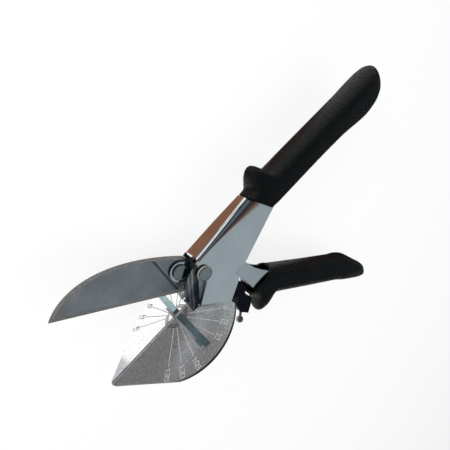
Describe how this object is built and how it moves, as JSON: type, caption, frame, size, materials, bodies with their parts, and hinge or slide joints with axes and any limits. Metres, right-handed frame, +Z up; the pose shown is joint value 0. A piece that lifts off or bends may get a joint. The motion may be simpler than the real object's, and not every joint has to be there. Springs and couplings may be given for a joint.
{
  "type": "mitre_shears",
  "caption": "Hand-held mitre shears with a curved blade, a roof-shaped angle table with fences, a thumb lock and two gripped handles, for cutting trim strips at set angles.",
  "frame": {"origin": "the work point on the ridge of the table where the angle marks meet", "axes": "+X runs back along the ridge to the end of the upper handle, +Y rises from the table to the blade, +Z is up, along the hinge axes, with the tool lying on its side"},
  "size_m": [0.246, 0.1745, 0.0696],
  "materials": {
    "chrome_steel": "bright plated pressed sheet with long soft reflections",
    "galvanised_sheet": "dull galvanised sheet, faintly mottled, with fine engraved lines",
    "zinc_plate": "pale zinc plating with a green cast",
    "blade_steel": "satin ground dark blade steel with brighter bevels",
    "nickel_fixings": "nickel plated domes",
    "spring_wire": "plain drawn wire",
    "black_grip": "black moulded grip with a fine pebble",
    "black_catch": "black moulded catch, slightly glossy"
  },
  "bodies": {
    "frame": {"frame_channel": "chrome_steel", "upper_grip": "black_grip", "angle_table": "galvanised_sheet", "near_fence": "zinc_plate", "far_fence": "zinc_plate", "table_rivets": "nickel_fixings", "pivot_bolt": "nickel_fixings", "pivot_nut": "nickel_fixings", "near_spacer": "zinc_plate", "lock_pin": "nickel_fixings", "opening_spring": "spring_wire"},
    "lever": {"lever_channel": "chrome_steel", "lower_grip": "black_grip", "blade": "blade_steel", "blade_rivet": "nickel_fixings", "pivot_bush": "zinc_plate"},
    "lock": {"lock_catch": "black_catch", "lock_knob": "nickel_fixings"}
  },
  "joints": [
    {"name": "lever_pivot", "type": "hinge", "parent": "frame", "child": "lever", "pos_m": [0.0263, 0.0123, 0], "axis": [0, 0, 1], "range_deg": [0, 40], "stiffness_Nm_per_rad": 0.3, "springref_deg": -28.65, "deforming": ["opening_spring"]},
    {"name": "lock_hinge", "type": "hinge", "parent": "frame", "child": "lock", "pos_m": [0.031, -0.009, 0], "axis": [0, 0, -1], "range_deg": [0, 25]}
  ]
}
